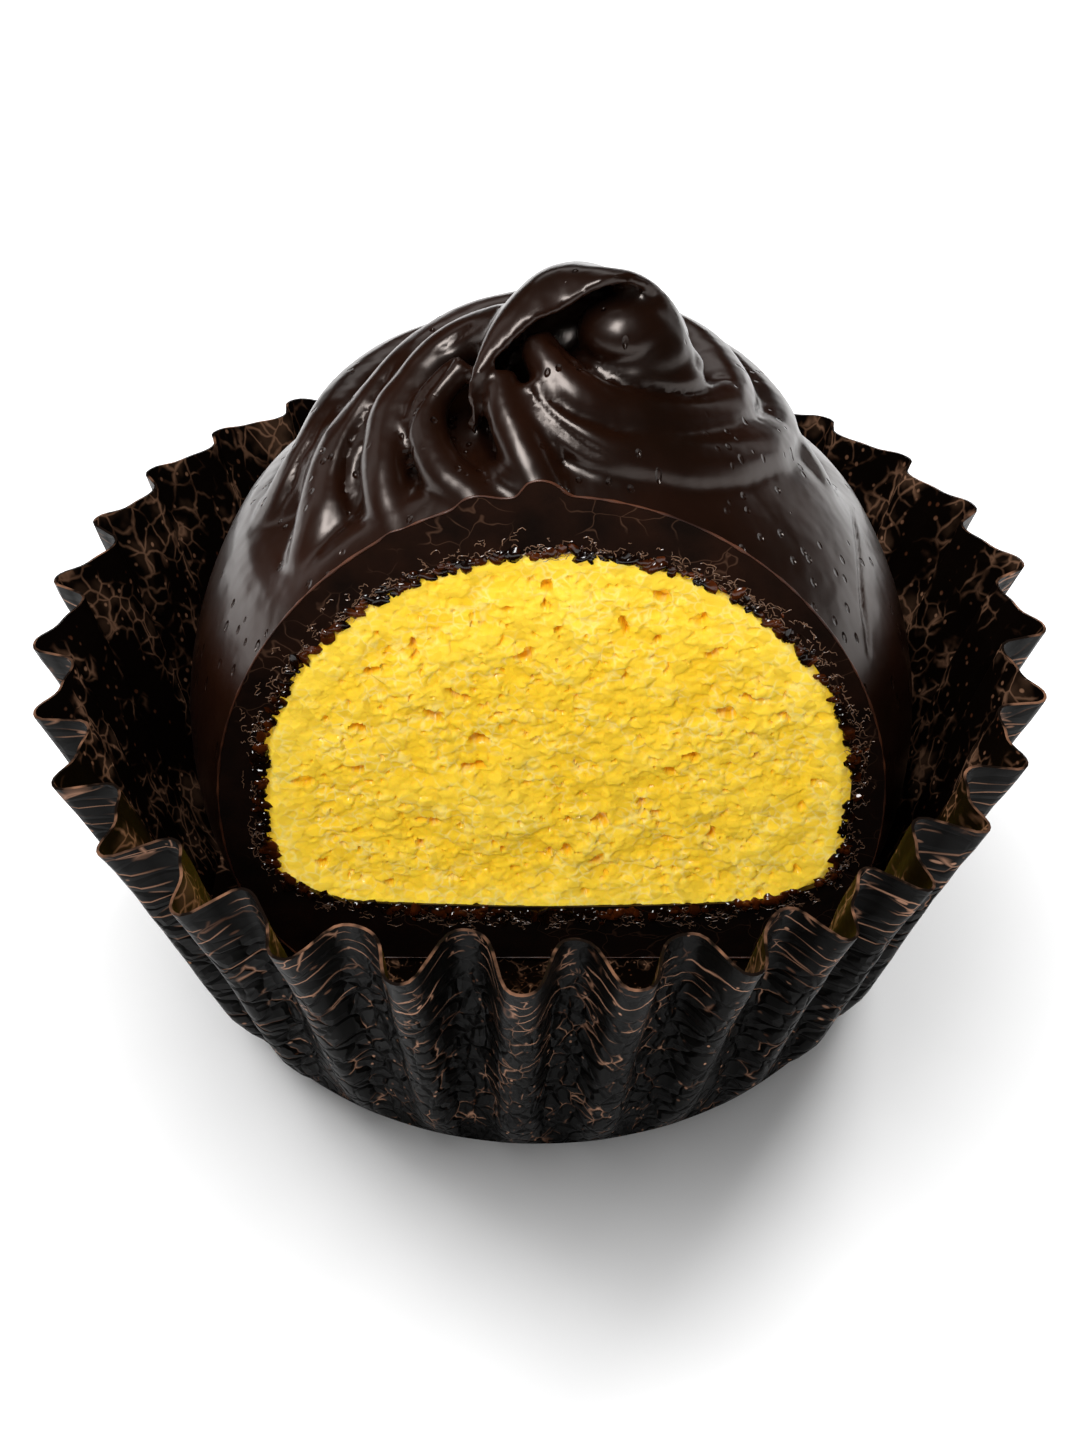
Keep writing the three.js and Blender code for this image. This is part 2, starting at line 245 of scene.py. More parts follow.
HOOD_MIDDLE = (2.0, 1.5, 32.4)
HOOD_THICKNESS = 0.5
HOOD_BELLY = 0.3
HOOD_STATIONS = 60
HOOD_ROWS = 28

# the cowl goes on down behind its top outline: the steps from there to its back and its foot
HOOD_BACK = (0.1, 1.5, -1.0)
HOOD_FOOT = (0.2, 2.2, -3.6)

# rounded lumps: the middle, then the half size along X, Y and Z
LUMPS = {
    "tip_back": (2.0, 4.6, 30.2, 4.2, 2.4, 3.0),
    "tip_nub": (3.95, 1.8, 32.9, 2.3, 1.9, 1.8),
    "tip_side": (4.9, 1.7, 31.9, 1.9, 2.0, 2.0),
    "tip_collar": (4.2, 1.5, 30.9, 3.3, 2.5, 1.8),
}

# strokes worked into the chocolate: half width, height (less than 0 for a crease), and the line
STROKES = {
    "collar_crease": (0.50, -0.34, [
        (0.45, 0.45, 33.60), (0.65, 0.40, 33.40), (1.02, 0.45, 33.12), (1.59, -0.30, 32.84),
        (2.69, -0.23, 32.06), (4.00, -0.65, 31.82), (5.32, -0.69, 31.54), (6.67, -0.20, 31.04),
        (7.85, 0.88, 30.41), (8.82, 1.87, 29.90),
    ]),
    "upper_turn_crease": (0.60, -0.26, [
        (-0.16, -1.53, 32.21), (0.93, -2.10, 31.76), (1.58, -2.41, 31.51), (2.45, -2.55, 31.24),
        (3.53, -2.74, 30.84), (4.63, -2.62, 30.55),
    ]),
    "lower_turn_crease": (0.60, -0.28, [
        (-0.75, -1.10, 32.50), (-0.37, -1.64, 32.02), (0.06, -2.13, 31.73),
        (0.93, -2.91, 31.12), (1.79, -3.44, 30.65), (2.66, -3.73, 30.23), (3.75, -3.85, 29.83),
    ]),
    "pillar_crease": (0.50, -0.40, [
        (-2.55, -0.92, 32.32), (-2.60, -1.44, 31.26), (-2.29, -0.55, 29.31), (-2.02, -1.54, 29.03),
        (-1.68, -3.24, 29.39),
    ]),
    "hollow_fold_crease": (0.50, -0.36, [
        (-2.70, 2.21, 31.97), (-4.14, 0.88, 31.79), (-5.02, 0.12, 30.98), (-5.68, -0.58, 30.13),
        (-5.92, -1.09, 29.15), (-5.78, -1.74, 28.53), (-5.33, -2.43, 27.94), (-4.52, -4.23, 28.18),
    ]),
    "left_fold_crease": (0.55, -0.38, [
        (-6.23, 4.37, 30.12), (-6.99, 3.37, 29.59), (-7.65, 2.35, 28.92), (-8.18, 1.46, 28.17),
        (-8.52, 0.69, 27.61), (-8.73, -0.24, 26.90), (-8.62, -1.07, 26.40), (-8.39, -1.63, 25.98),
        (-8.03, -3.05, 26.20),
    ]),
    "left_flank_crease": (0.60, -0.30, [
        (-9.44, 4.47, 27.31), (-10.10, 3.61, 26.95), (-10.53, 2.73, 26.45), (-10.99, 2.22, 25.97),
        (-11.35, 1.41, 25.14), (-11.79, 1.01, 24.30), (-12.19, 0.66, 23.41),
    ]),
    "facet_crease": (0.30, -0.20, [
        (-4.50, 2.48, 31.42), (-4.05, 2.64, 31.68), (-3.42, 2.79, 32.22), (-2.61, 2.65, 32.89),
    ]),
    "nub_crease": (0.50, -0.10, [
        (1.15, 0.35, 33.03), (2.26, 0.62, 32.38), (3.56, -0.04, 32.66), (4.43, -0.03, 32.87),
        (5.21, 0.30, 33.32),
    ]),
    "collar_back_crease": (0.50, -0.15, [
        (6.81, 1.83, 31.95), (7.14, 0.97, 31.57), (8.04, 2.54, 29.99), (8.85, 2.41, 29.86),
    ]),
    "right_groove": (0.32, -0.16, [
        (14.41, 2.59, 22.66), (14.59, 1.18, 22.44), (14.76, -0.43, 21.92), (14.87, -2.13, 20.91),
        (15.17, -3.21, 19.42), (15.28, -3.86, 18.46),
    ]),
    "hollow_ridge": (0.60, 0.25, [
        (-2.60, -1.39, 28.93), (-1.77, -3.36, 29.27), (-1.02, -4.48, 29.22),
    ]),
}

# how near a stroke works, its points to each one listed, the nearest ones that count, and the
# shares of its length over which it fades in and out
STROKE_REACH = 1.6
STROKE_POINTS = 8
STROKE_NEAREST = 12
STROKE_FADE_IN = 0.15
STROKE_FADE_OUT = 0.25

# ---- bench work ----


def pick(piece):
    bpy.ops.object.select_all(action="DESELECT")
    piece.select_set(True)
    bpy.context.view_layer.objects.active = piece


def modify(piece, kind, **settings):
    """A modifier with its settings, applied at once."""
    pick(piece)
    modifier = piece.modifiers.new(kind.title(), kind)
    for name, value in settings.items():
        setattr(modifier, name, value)
    bpy.ops.object.modifier_apply(modifier=modifier.name)


def turned(name, profile, steps):
    """A profile of (radius, height) points from axis to axis, drawn out point by point and spun."""
    bpy.ops.mesh.primitive_plane_add(size=1, location=(0, 0, 0))
    piece = bpy.context.object
    piece.name = name
    bpy.ops.object.mode_set(mode="EDIT")
    bpy.ops.mesh.merge(type="CENTER")
    bpy.ops.transform.translate(value=(profile[0][0], 0, profile[0][1]))
    for (r0, z0), (r1, z1) in zip(profile, profile[1:]):
        bpy.ops.mesh.extrude_region_move(TRANSFORM_OT_translate={"value": (r1 - r0, 0, z1 - z0)})
    bpy.ops.mesh.select_all(action="SELECT")
    bpy.ops.mesh.spin(steps=steps, angle=2 * math.pi, center=(0, 0, 0), axis=(0, 0, 1))
    bpy.ops.mesh.select_all(action="SELECT")
    bpy.ops.mesh.remove_doubles(threshold=0.001)
    bpy.ops.mesh.normals_make_consistent(inside=False)
    bpy.ops.object.mode_set(mode="OBJECT")
    return piece


def dome(name, bottom, top, radius_at, centre, steps):
    """A round dome with this outline, a little less deep than wide."""
    profile = [(0.0, bottom)]
    for row in range(DOME_ROWS):
        z = bottom + (top - bottom) * math.sin(row / DOME_ROWS * math.pi / 2)
        profile.append((max(radius_at(z), 0.01), z))
    profile.append((0.0, top))
    piece = turned(name, profile, steps)
    bpy.ops.object.mode_set(mode="EDIT")
    bpy.ops.mesh.select_all(action="SELECT")
    bpy.ops.transform.resize(value=(1, COAT_DEPTH, 1), center_override=(0, 0, 0))
    bpy.ops.transform.translate(value=(centre[0], centre[1], 0))
    bpy.ops.object.mode_set(mode="OBJECT")
    return piece


def roll(name, route):
    """A soft round roll along the route, as thick at each point as the route says."""
    bpy.ops.curve.primitive_bezier_curve_add(location=(0, 0, 0))
    piece = bpy.context.object
    piece.name = name
    curve = piece.data
    curve.bevel_depth = 1.0
    curve.bevel_resolution = 5
    curve.resolution_u = 6
    curve.use_fill_caps = True
    points = curve.splines[0].bezier_points
    points.add(len(route) - 2)
    for point, (x, y, z, thick) in zip(points, route):
        point.co = (x, y, z)
        point.radius = thick
        point.handle_left_type = point.handle_right_type = "AUTO"
    bpy.ops.object.convert(target="MESH")
    return bpy.context.object


def lump(name, x, y, z, sx, sy, sz):
    """A rounded lump: its middle and its half sizes."""
    bpy.ops.mesh.primitive_uv_sphere_add(segments=32, ring_count=20, radius=1, location=(0, 0, 0))
    piece = bpy.context.object
    piece.name = name
    piece.data.transform(Matrix.Translation((x, y, z)) @ Matrix.Diagonal((sx, sy, sz, 1)))
    return piece


def put(name, data):
    """A new object with this mesh, curve, lamp or camera."""
    thing = bpy.data.objects.new(name, data)
    bpy.context.collection.objects.link(thing)
    return thing


def join(pieces, name):
    bpy.ops.object.select_all(action="DESELECT")
    for piece in pieces:
        piece.select_set(True)
    bpy.context.view_layer.objects.active = pieces[0]
    bpy.ops.object.join()
    pieces[0].name = name
    pieces[0].data.name = name
    return pieces[0]


def smooth_shaded(piece, angle=40):
    pick(piece)
    bpy.ops.object.shade_smooth_by_angle(angle=angle * DEGREE)


def to_size(piece, in_case=True):
    """Millimetres to metres, and the sweet to its place in the case."""
    place = Matrix.Translation((0, SWEET_FORWARD, SWEET_LIFT)) if in_case else Matrix.Identity(4)
    piece.data.transform(Matrix.Diagonal((MM, MM, MM, 1)) @ place)
    piece.data.update()


def coat_radius_at(z):
    """The outline of the coat: it draws in to the foot and rounds off to the top."""
    if z < COAT_WIDEST_AT:
        drop = (COAT_WIDEST_AT - z) / COAT_WIDEST_AT
        return COAT_RADIUS - (COAT_RADIUS - COAT_FOOT_RADIUS) * drop ** 2.5
    rise = (z - COAT_WIDEST_AT) / (COAT_HEIGHT - COAT_WIDEST_AT)
    return COAT_RADIUS * max(1 - rise ** COAT_ROUNDNESS, 0) ** (1 / COAT_ROUNDNESS)


def cream_radius_at(z, spare=0.0):
    """The outline of the cream: nearly flat below with rounded corners, and a round top."""
    if z < CREAM_WIDEST_AT:
        drop = (CREAM_WIDEST_AT - z) / (CREAM_WIDEST_AT - CREAM_BOTTOM + spare)
        return (CREAM_RADIUS + spare) * max(1 - drop ** CREAM_FLATNESS, 0) ** (1 / CREAM_CORNER)
    rise = (z - CREAM_WIDEST_AT) / (CREAM_TOP + spare - CREAM_WIDEST_AT)
    return (CREAM_RADIUS + spare) * max(1 - rise ** CREAM_ROUNDNESS, 0) ** (1 / CREAM_ROUNDNESS)


def cream_dome(name, spare=0.0):
    return dome(name, CREAM_BOTTOM - spare, CREAM_TOP + spare, lambda z: cream_radius_at(z, spare),
                CREAM_CENTRE, CREAM_STEPS)


# ---- colours and nodes ----
# pattern scales are cells to the metre: 1000 gives cells of 1 mm, and 500 cells of 2 mm


def srgb(text):
    """A #rrggbb colour as linear red, green, blue and alpha."""
    parts = [int(text[i:i + 2], 16) / 255 for i in (1, 3, 5)]
    return tuple(c / 12.92 if c <= 0.04045 else ((c + 0.055) / 1.055) ** 2.4 for c in parts) + (1.0,)


def add(tree, kind, inputs=None, **settings):
    """A node with its settings. An input is a socket to link, or a value."""
    node = tree.nodes.new(kind)
    for name, value in settings.items():
        setattr(node, name, value)
    for key, value in (inputs or {}).items():
        if isinstance(value, bpy.types.NodeSocket):
            tree.links.new(value, node.inputs[key])
        else:
            node.inputs[key].default_value = value
    return node


def blank_material(name):
    material = bpy.data.materials.new(name)
    material.use_nodes = True
    material.node_tree.nodes.clear()
    return material, material.node_tree


def ramp(tree, factor, stops):
    """A colour that runs through the stops as the factor goes from 0 to 1."""
    node = add(tree, "ShaderNodeValToRGB", {0: factor})
    elements = node.color_ramp.elements
    while len(elements) < len(stops):
        elements.new(0.5)
    for element, (position, colour) in zip(elements, stops):
        element.position = position
        element.color = colour
    return node.outputs["Color"]


def product(tree, one, two):
    return add(tree, "ShaderNodeMath", {0: one, 1: two}, operation="MULTIPLY").outputs[0]


def larger(tree, one, two):
    return add(tree, "ShaderNodeMath", {0: one, 1: two}, operation="MAXIMUM").outputs[0]


def stretch(tree, value, low, high, first=0.0, last=1.0):
    """The value, carried from low and high to first and last and held there beyond them."""
    node = add(tree, "ShaderNodeMapRange", {"Value": value, "From Min": low, "From Max": high,
                                            "To Min": first, "To Max": last})
    return node.outputs["Result"]


def line_mask(tree, value, middle, half_width):
    """One where the value is at the middle, falling to nothing half a width away."""
    away = add(tree, "ShaderNodeMath", {0: value, 1: middle}, operation="SUBTRACT")
    away = add(tree, "ShaderNodeMath", {0: away.outputs[0]}, operation="ABSOLUTE")
    return stretch(tree, away.outputs[0], 0.0, half_width, 1.0, 0.0)


def object_place(tree):
    return add(tree, "ShaderNodeTexCoord").outputs["Object"]


def sheet_place(tree):
    """The place on the paper as if it were drawn out flat from its pleats."""
    return add(tree, "ShaderNodeAttribute", attribute_name="sheet").outputs["Vector"]


def coordinate(tree, place, axis):
    return add(tree, "ShaderNodeSeparateXYZ", {0: place}).outputs[axis]


def drawn_out(tree, place, scale):
    """The place scaled axis by axis: below 1, the pattern is drawn out along that axis."""
    return add(tree, "ShaderNodeMapping", {"Vector": place, "Scale": scale}).outputs[0]


def clouds(tree, place, scale, detail, output="Fac"):
    """Soft noise, rougher with more detail."""
    node = add(tree, "ShaderNodeTexNoise", {"Vector": place, "Scale": scale, "Detail": detail})
    return node.outputs[output]


def warped(tree, place, scale, detail, reach):
    """The place pushed about by noise, by up to the reach along each axis."""
    push = clouds(tree, place, scale, detail, "Color")
    node = add(tree, "ShaderNodeVectorMath", {0: push, 1: (reach, reach, reach), 2: place},
               operation="MULTIPLY_ADD")
    return node.outputs[0]


def from_middles(tree, place, scale):
    """How far it is to the nearest middle of scattered cells, as a share of a cell."""
    node = add(tree, "ShaderNodeTexVoronoi", {"Vector": place, "Scale": scale})
    return node.outputs["Distance"]


def from_edges(tree, place, scale):
    """How far it is to the nearest edge between scattered cells, as a share of a cell."""
    node = add(tree, "ShaderNodeTexVoronoi", {"Vector": place, "Scale": scale},
               feature="DISTANCE_TO_EDGE")
    return node.outputs["Distance"]


def mixed(tree, share, below, above):
    """The colour below, with the colour above over it where the share is 1."""
    node = add(tree, "ShaderNodeMix", {0: share, 6: below, 7: above}, data_type="RGBA")
    return node.outputs[2]


def bump(tree, height, strength, distance, under=None, invert=False):
    """Relief from the height, laid over the relief under it."""
    inputs = {"Height": height, "Strength": strength, "Distance": distance}
    if under:
        inputs["Normal"] = under
    return add(tree, "ShaderNodeBump", inputs, invert=invert).outputs[0]


def finish_material(tree, surface):
    """The material's surface, from the colour, roughness and so on that it is given."""
    shader = add(tree, "ShaderNodeBsdfPrincipled", surface)
    add(tree, "ShaderNodeOutputMaterial", {"Surface": shader.outputs[0]})


# ---- chocolate ----


def coating_material():
    """Dark couverture set from a dip: deep brown under a satin gloss, with small pits, nicks and
    faint brush lines that run down the sides."""
    material, tree = blank_material("dark_couverture")
    place = object_place(tree)
    brown = clouds(tree, place, 140.0, 3.0)
    colour = ramp(tree, brown, [(0.3, srgb("#190a03")), (0.7, srgb("#2b1308"))])
    # pits and nicks in cells of 0.8 mm, up to 0.3 mm wide and nearly four times as tall, mostly
    # on the two shoulders
    pits = from_middles(tree, drawn_out(tree, place, (1.0, 1.0, 0.27)), 1250.0)
    deep = stretch(tree, clouds(tree, place, 260.0, 0.0), 0.5, 0.62)
    across = coordinate(tree, place, "X")
    shoulders = larger(tree, stretch(tree, across, 7 * MM, 11 * MM),
                       stretch(tree, across, -7 * MM, -11 * MM))
    pits = product(tree, stretch(tree, pits, 0.10, 0.20, 1.0, 0.0), larger(tree, deep, shoulders))
    # brush lines 0.8 mm apart and 5 mm long, over swells 2.5 mm wide and 6 mm tall
    streaks = clouds(tree, drawn_out(tree, place, (1.0, 1.0, 0.16)), 1300.0, 1.0)
    swell = clouds(tree, drawn_out(tree, place, (1.0, 1.0, 0.4)), 400.0, 2.0)
    waves = bump(tree, swell, 0.5, 0.3 * MM)
    lined = bump(tree, streaks, 0.18, 0.1 * MM, waves)
    finish_material(tree, {
        "Base Color": colour, "Roughness": 0.28, "IOR": 1.48, "Specular Tint": (1.0, 0.9, 0.84, 1.0),
        "Normal": bump(tree, pits, 1.0, 0.14 * MM, lined, invert=True)})
    return material


def cut_chocolate_material():
    """Snapped and cut couverture: matt, nearly black brown, with a faint crackle drawn in pale lines
    that are painted highlights on the chip edges.
    """
    material, tree = blank_material("cut_couverture")
    place = object_place(tree)
    mottle = clouds(tree, place, 500.0, 4.0)
    plain = ramp(tree, mottle, [(0.3, srgb("#170a04")), (0.7, srgb("#2a150a"))])
    # a crackle round cells of about 2 mm, left out over half of the face; its pale lines are painted
    # highlights on the chip edges
    cells = from_edges(tree, warped(tree, place, 450.0, 2.0, 3 * MM), 480.0)
    patches = clouds(tree, place, 240.0, 2.0)
    cracks_and_highlights = product(tree, stretch(tree, cells, 0.0, 0.02, 0.4, 0.0),
                     stretch(tree, patches, 0.47, 0.56))
    finish_material(tree, {
        "Base Color": mixed(tree, cracks_and_highlights, plain, srgb("#7c5a46")), "Roughness": 0.7, "IOR": 1.15,
        "Normal": bump(tree, mottle, 0.35, 0.3 * MM)})
    return material


def seam_chocolate_material():
    """Broken couverture at the seam: glossy, with brown patches spread by noise that are painted
    light coming through thin chocolate.
    """
    material, tree = blank_material("broken_couverture")
    thin = clouds(tree, object_place(tree), 700.0, 1.0)
    # painted light: brown patches, spread by noise, stand in for light coming through thin chips
    colour = ramp(tree, thin, [(0.46, srgb("#180903")), (0.64, srgb("#6a300e"))])
    finish_material(tree, {"Base Color": colour, "Roughness": 0.14, "IOR": 1.5})
    return material


def curl_chocolate_material():
    """Chocolate drawn out to a hair, pale brown because the light comes through it."""
    material, tree = blank_material("drawn_couverture")
    finish_material(tree, {"Base Color": srgb("#a07a60"), "Roughness": 0.25, "IOR": 1.5})
    return material


def edge_chocolate_material():
    """The thin burr that the knife leaves: its red brown is painted light, standing in for light
    that comes through the thin chocolate and catches its edge.
    """
    material, tree = blank_material("thin_chocolate_edge")
    # painted light: the lighter red brown patches stand in for light coming through the thin edge
    thin = clouds(tree, object_place(tree), 500.0, 2.0)
    colour = ramp(tree, thin, [(0.35, srgb("#3a1c10")), (0.7, srgb("#744229"))])
    finish_material(tree, {"Base Color": colour, "Roughness": 0.4, "IOR": 1.5})
    return material


def cutter_block():
    """All that lies in front of the cut."""
    size = 100
    bpy.ops.mesh.primitive_cube_add(size=size, location=(0, 0, 0))
    block = bpy.context.object
    block.name = "knife"
    block.data.transform(Matrix.Translation((0, CUT_Y - size / 2, 0)))
    return block


def carve(piece, tool):
    modify(piece, "BOOLEAN", operation="DIFFERENCE", object=tool, solver="MANIFOLD")
    bpy.data.objects.remove(tool, do_unlink=True)


def spline(points, steps):
    """Points spread evenly along a smooth line through the given ones."""
    smooth, last = [], len(points) - 1
    for k in range(steps + 1):
        place = min(k / steps * last, last - 1e-6)
        first = int(place)
        t = place - first
        before, here, there, after = (Vector(points[max(0, min(last, first + j))])
                                      for j in (-1, 0, 1, 2))
        smooth.append(0.5 * ((2 * here) + (there - before) * t
                             + (2 * before - 5 * here + 4 * there - after) * t * t
                             + (3 * here - before - 3 * there + after) * t ** 3))
    return smooth


def hood():
    """The curled tip: a thin cowl from its front lip over its top and down its back."""
    middle = Vector(HOOD_MIDDLE)
    lip, top = spline(HOOD_LIP, HOOD_STATIONS), spline(HOOD_TOP, HOOD_STATIONS)
    bpy.ops.mesh.primitive_grid_add(x_subdivisions=HOOD_STATIONS, y_subdivisions=HOOD_ROWS, size=1,
                                    location=(0, 0, 0))
    cowl = bpy.context.object
    cowl.name = "hood"
    across = []
    for front, back in zip(lip, top):
        belly = (front + back) / 2
        belly += (belly - middle).normalized() * HOOD_BELLY
        behind = back + Vector(HOOD_BACK)
        foot = back + Vector(HOOD_FOOT)
        across.append(spline([front, belly, back, behind, foot], HOOD_ROWS))
    for vertex in cowl.data.vertices:
        station = round((vertex.co.x + 0.5) * HOOD_STATIONS)
        row = round((vertex.co.y + 0.5) * HOOD_ROWS)
        vertex.co = across[station][row]
    modify(cowl, "SOLIDIFY", thickness=HOOD_THICKNESS, offset=-1, use_even_offset=False)
    pick(cowl)
    bpy.ops.object.mode_set(mode="EDIT")
    bpy.ops.mesh.select_all(action="SELECT")
    bpy.ops.mesh.normals_make_consistent(inside=False)
    bpy.ops.object.mode_set(mode="OBJECT")
    return cowl


def smoothstep(low, high, value):
    """Nothing up to low, one from high on, and a smooth rise between them."""
    t = min(max((value - low) / (high - low), 0.0), 1.0)
    return t * t * (3 - 2 * t)


def lower_under_swirl(piece):
    """The dome is lower under the swirl, so that the rolls stand clear of it."""
    heart = Vector((COAT_CENTRE[0], COAT_CENTRE[1], COAT_WIDEST_AT))
    for vertex in piece.data.vertices:
        x, y, z = vertex.co
        share = smoothstep(*SEAT_HEIGHTS, z) * smoothstep(*SEAT_BACKWARDS, y)
        share *= 1 - smoothstep(*SEAT_ENDS_RIGHT, x) * (1 - smoothstep(*SEAT_ENDS_FRONT, y))
        vertex.co += (heart - vertex.co).normalized() * SWIRL_SEAT * share


def work_strokes(piece):
    """Press the creases into the piece and draw up the ridges, along their lines."""
    samples = []
    for half_width, height, line in STROKES.values():
        steps = len(line) * STROKE_POINTS
        for k, spot in enumerate(spline(line, steps)):
            ends = smoothstep(0.0, STROKE_FADE_IN, k / steps)
            ends *= smoothstep(0.0, STROKE_FADE_OUT, 1 - k / steps)
            samples.append((spot, half_width, height * ends))
    tree = KDTree(len(samples))
    for index, sample in enumerate(samples):
        tree.insert(sample[0], index)
    tree.balance()
    moves = {}
    for vertex in piece.data.vertices:
        crease = ridge = 0.0
        for spot, index, away in tree.find_n(vertex.co, STROKE_NEAREST):
            if away > STROKE_REACH:
                break
            half_width, height = samples[index][1:]
            gap = vertex.co - spot
            across = (gap - vertex.normal * gap.dot(vertex.normal)).length / half_width
            if across < 1 and height < 0:
                crease = min(crease, height * (1 - across) ** 2)
            elif across < 1:
                ridge = max(ridge, height * (1 - across * across) ** 2)
        if crease or ridge:
            moves[vertex.index] = vertex.normal * (crease + ridge)
    for index, move in moves.items():
        piece.data.vertices[index].co += move


def chocolate_coat():
    """The dome, the rolls of the swirl, its lumps and its curled tip, poured in one, with the
    front cut away and the hollow for the cream."""
    body = dome("coat_dome", 0.0, COAT_HEIGHT, coat_radius_at, COAT_CENTRE, COAT_STEPS)
    lower_under_swirl(body)
    shapes = [body]
    shapes += [roll(name, route) for name, route in ROLLS.items()]
    shapes += [lump(name, *sizes) for name, sizes in LUMPS.items()]
    shapes.append(hood())
    coat = join(shapes, "coat_of_chocolate")
    modify(coat, "REMESH", mode="VOXEL", voxel_size=COAT_GRAIN)
    modify(coat, "SMOOTH", factor=0.5, iterations=SMOOTH_FIRST)
    work_strokes(coat)
    modify(coat, "SMOOTH", factor=0.5, iterations=SMOOTH_LAST)
    carve(coat, cutter_block())
    carve(coat, cream_dome("cavity"))
    coat.data.materials.clear()
    coat.data.materials.append(coating_material())
    coat.data.materials.append(cut_chocolate_material())
    # the faces in the plane of the cut have the cut look
    for face in coat.data.polygons:
        if abs(face.center.y - CUT_Y) < 0.001:
            face.material_index = 1
    smooth_shaded(coat)
    to_size(coat)
    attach(coat, "root")
    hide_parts("chocolate_coat")
    return coat


def edge_burr(coat):
    """A thin burr that the knife raised all along the outer edge of the cut."""
    bpy.ops.object.select_all(action="DESELECT")
    mesh = bpy.data.meshes.new("burr")
    work = bmesh.new()
    work.from_mesh(coat.data)
    spots, edges = [], []
    for edge in work.edges:
        if len({face.material_index for face in edge.link_faces}) < 2:
            continue
        ends = [vertex.co / MM for vertex in edge.verts]
        x, _, z = (ends[0] + ends[1]) / 2 - Vector((0, SWEET_FORWARD, SWEET_LIFT))
        if outline_distance(x, z) < -BURR_FROM_CREAM:
            edges.append((len(spots), len(spots) + 1))
            spots += ends
    work.free()
    mesh.from_pydata(spots, edges, [])
    burr = put("knife_burr", mesh)
    pick(burr)
    bpy.ops.object.mode_set(mode="EDIT")
    bpy.ops.mesh.select_all(action="SELECT")
    bpy.ops.mesh.remove_doubles(threshold=0.01)
    bpy.ops.object.mode_set(mode="OBJECT")
    bpy.ops.object.convert(target="CURVE")
    burr = bpy.context.object
    burr.data.bevel_depth = BURR_THICKNESS / 2
    burr.data.bevel_resolution = 1
    # it is thick and thin by turns
    for line in burr.data.splines:
        for point in line.points:
            point.radius = 0.8 + 0.9 * noise.noise(point.co.xyz * 1.3)
    bpy.ops.object.convert(target="MESH")
    burr = bpy.context.object
    to_size(burr, in_case=False)
    burr.data.materials.append(edge_chocolate_material())
    smooth_shaded(burr, 60)
    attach(burr, "root")
    return burr


def cream_outline():
    """Points spread evenly round the cream on the cut face, each with the way outwards."""
    chord = (CUT_Y - CREAM_CENTRE[1]) / COAT_DEPTH
    right, steps = [], 240
    for step in range(steps + 1):
        turn = math.pi * step / steps
        z = CREAM_BOTTOM + (CREAM_TOP - CREAM_BOTTOM) * (1 - math.cos(turn)) / 2
        radius = cream_radius_at(z)
        if radius > abs(chord):
            right.append((math.sqrt(radius * radius - chord * chord), z))
    loop = [Vector((CREAM_CENTRE[0] + x, CUT_Y, z)) for x, z in right]
    loop += [Vector((CREAM_CENTRE[0] - x, CUT_Y, z)) for x, z in reversed(right)]
    even, last = [], loop[-1]
    for spot in loop:
        length = (spot - last).length
        for k in range(int(length / OUTLINE_GAP)):
            even.append(last.lerp(spot, k * OUTLINE_GAP / length))
        last = spot
    middle = Vector((CREAM_CENTRE[0], CUT_Y, CREAM_FACE_MIDDLE))
    placed = []
    for k, spot in enumerate(even):
        along = (even[(k + OUTLINE_SIDE) % len(even)] - even[k - OUTLINE_SIDE]).normalized()
        outwards = Vector((along.z, 0, -along.x))
        if outwards.dot(spot - middle) < 0:
            outwards = -outwards
        placed.append((spot, outwards))
    return placed


def seam_crumbs():
    """Crumbs of chocolate that broke away along the seam between the coat and the cream."""
    chance = random.Random(41)
    outline = cream_outline()
    bpy.ops.mesh.primitive_ico_sphere_add(subdivisions=2, radius=1, location=(0, 0, 0))
    pattern = bpy.context.object
    shape = [vertex.co.copy() for vertex in pattern.data.vertices]
    faces = [tuple(face.vertices) for face in pattern.data.polygons]
    bpy.data.objects.remove(pattern, do_unlink=True)
    spots, corners = [], []
    for index in range(SEAM_CRUMBS):
        spot, outwards = outline[chance.randrange(len(outline))]
        away = abs(chance.gauss(0.0, CRUMB_SPREAD)) - CRUMB_INSET
        size = chance.uniform(*CRUMB_SIZES) * (1.0 if away < CRUMB_FAR else FAR_CRUMBS_SMALLER)
        middle = spot + outwards * away + Vector((0, chance.uniform(*CRUMB_DEPTHS), 0))
        stretched = Matrix.Diagonal((size * chance.uniform(0.8, 1.6), size * 0.6,
                                     size * chance.uniform(0.6, 1.1), 1))
        turned_round = Matrix.Rotation(chance.uniform(0, math.pi), 4, "Y")
        place = Matrix.Translation(middle) @ turned_round @ stretched
        start = len(spots)
        for corner in shape:
            own = Vector((index * 3.7, 0, 0))
            rough = 1 + CRUMB_ROUGHNESS * noise.noise(corner * 1.4 + own)
            spots.append(place @ (corner * rough))
        corners += [tuple(start + k for k in face) for face in faces]
    mesh = bpy.data.meshes.new("seam_crumbs")
    mesh.from_pydata(spots, [], corners)
    crumbs = put("seam_crumbs", mesh)
    mesh.materials.append(seam_chocolate_material())
    smooth_shaded(crumbs, 50)
    to_size(crumbs)
    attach(crumbs, "root")
    return crumbs


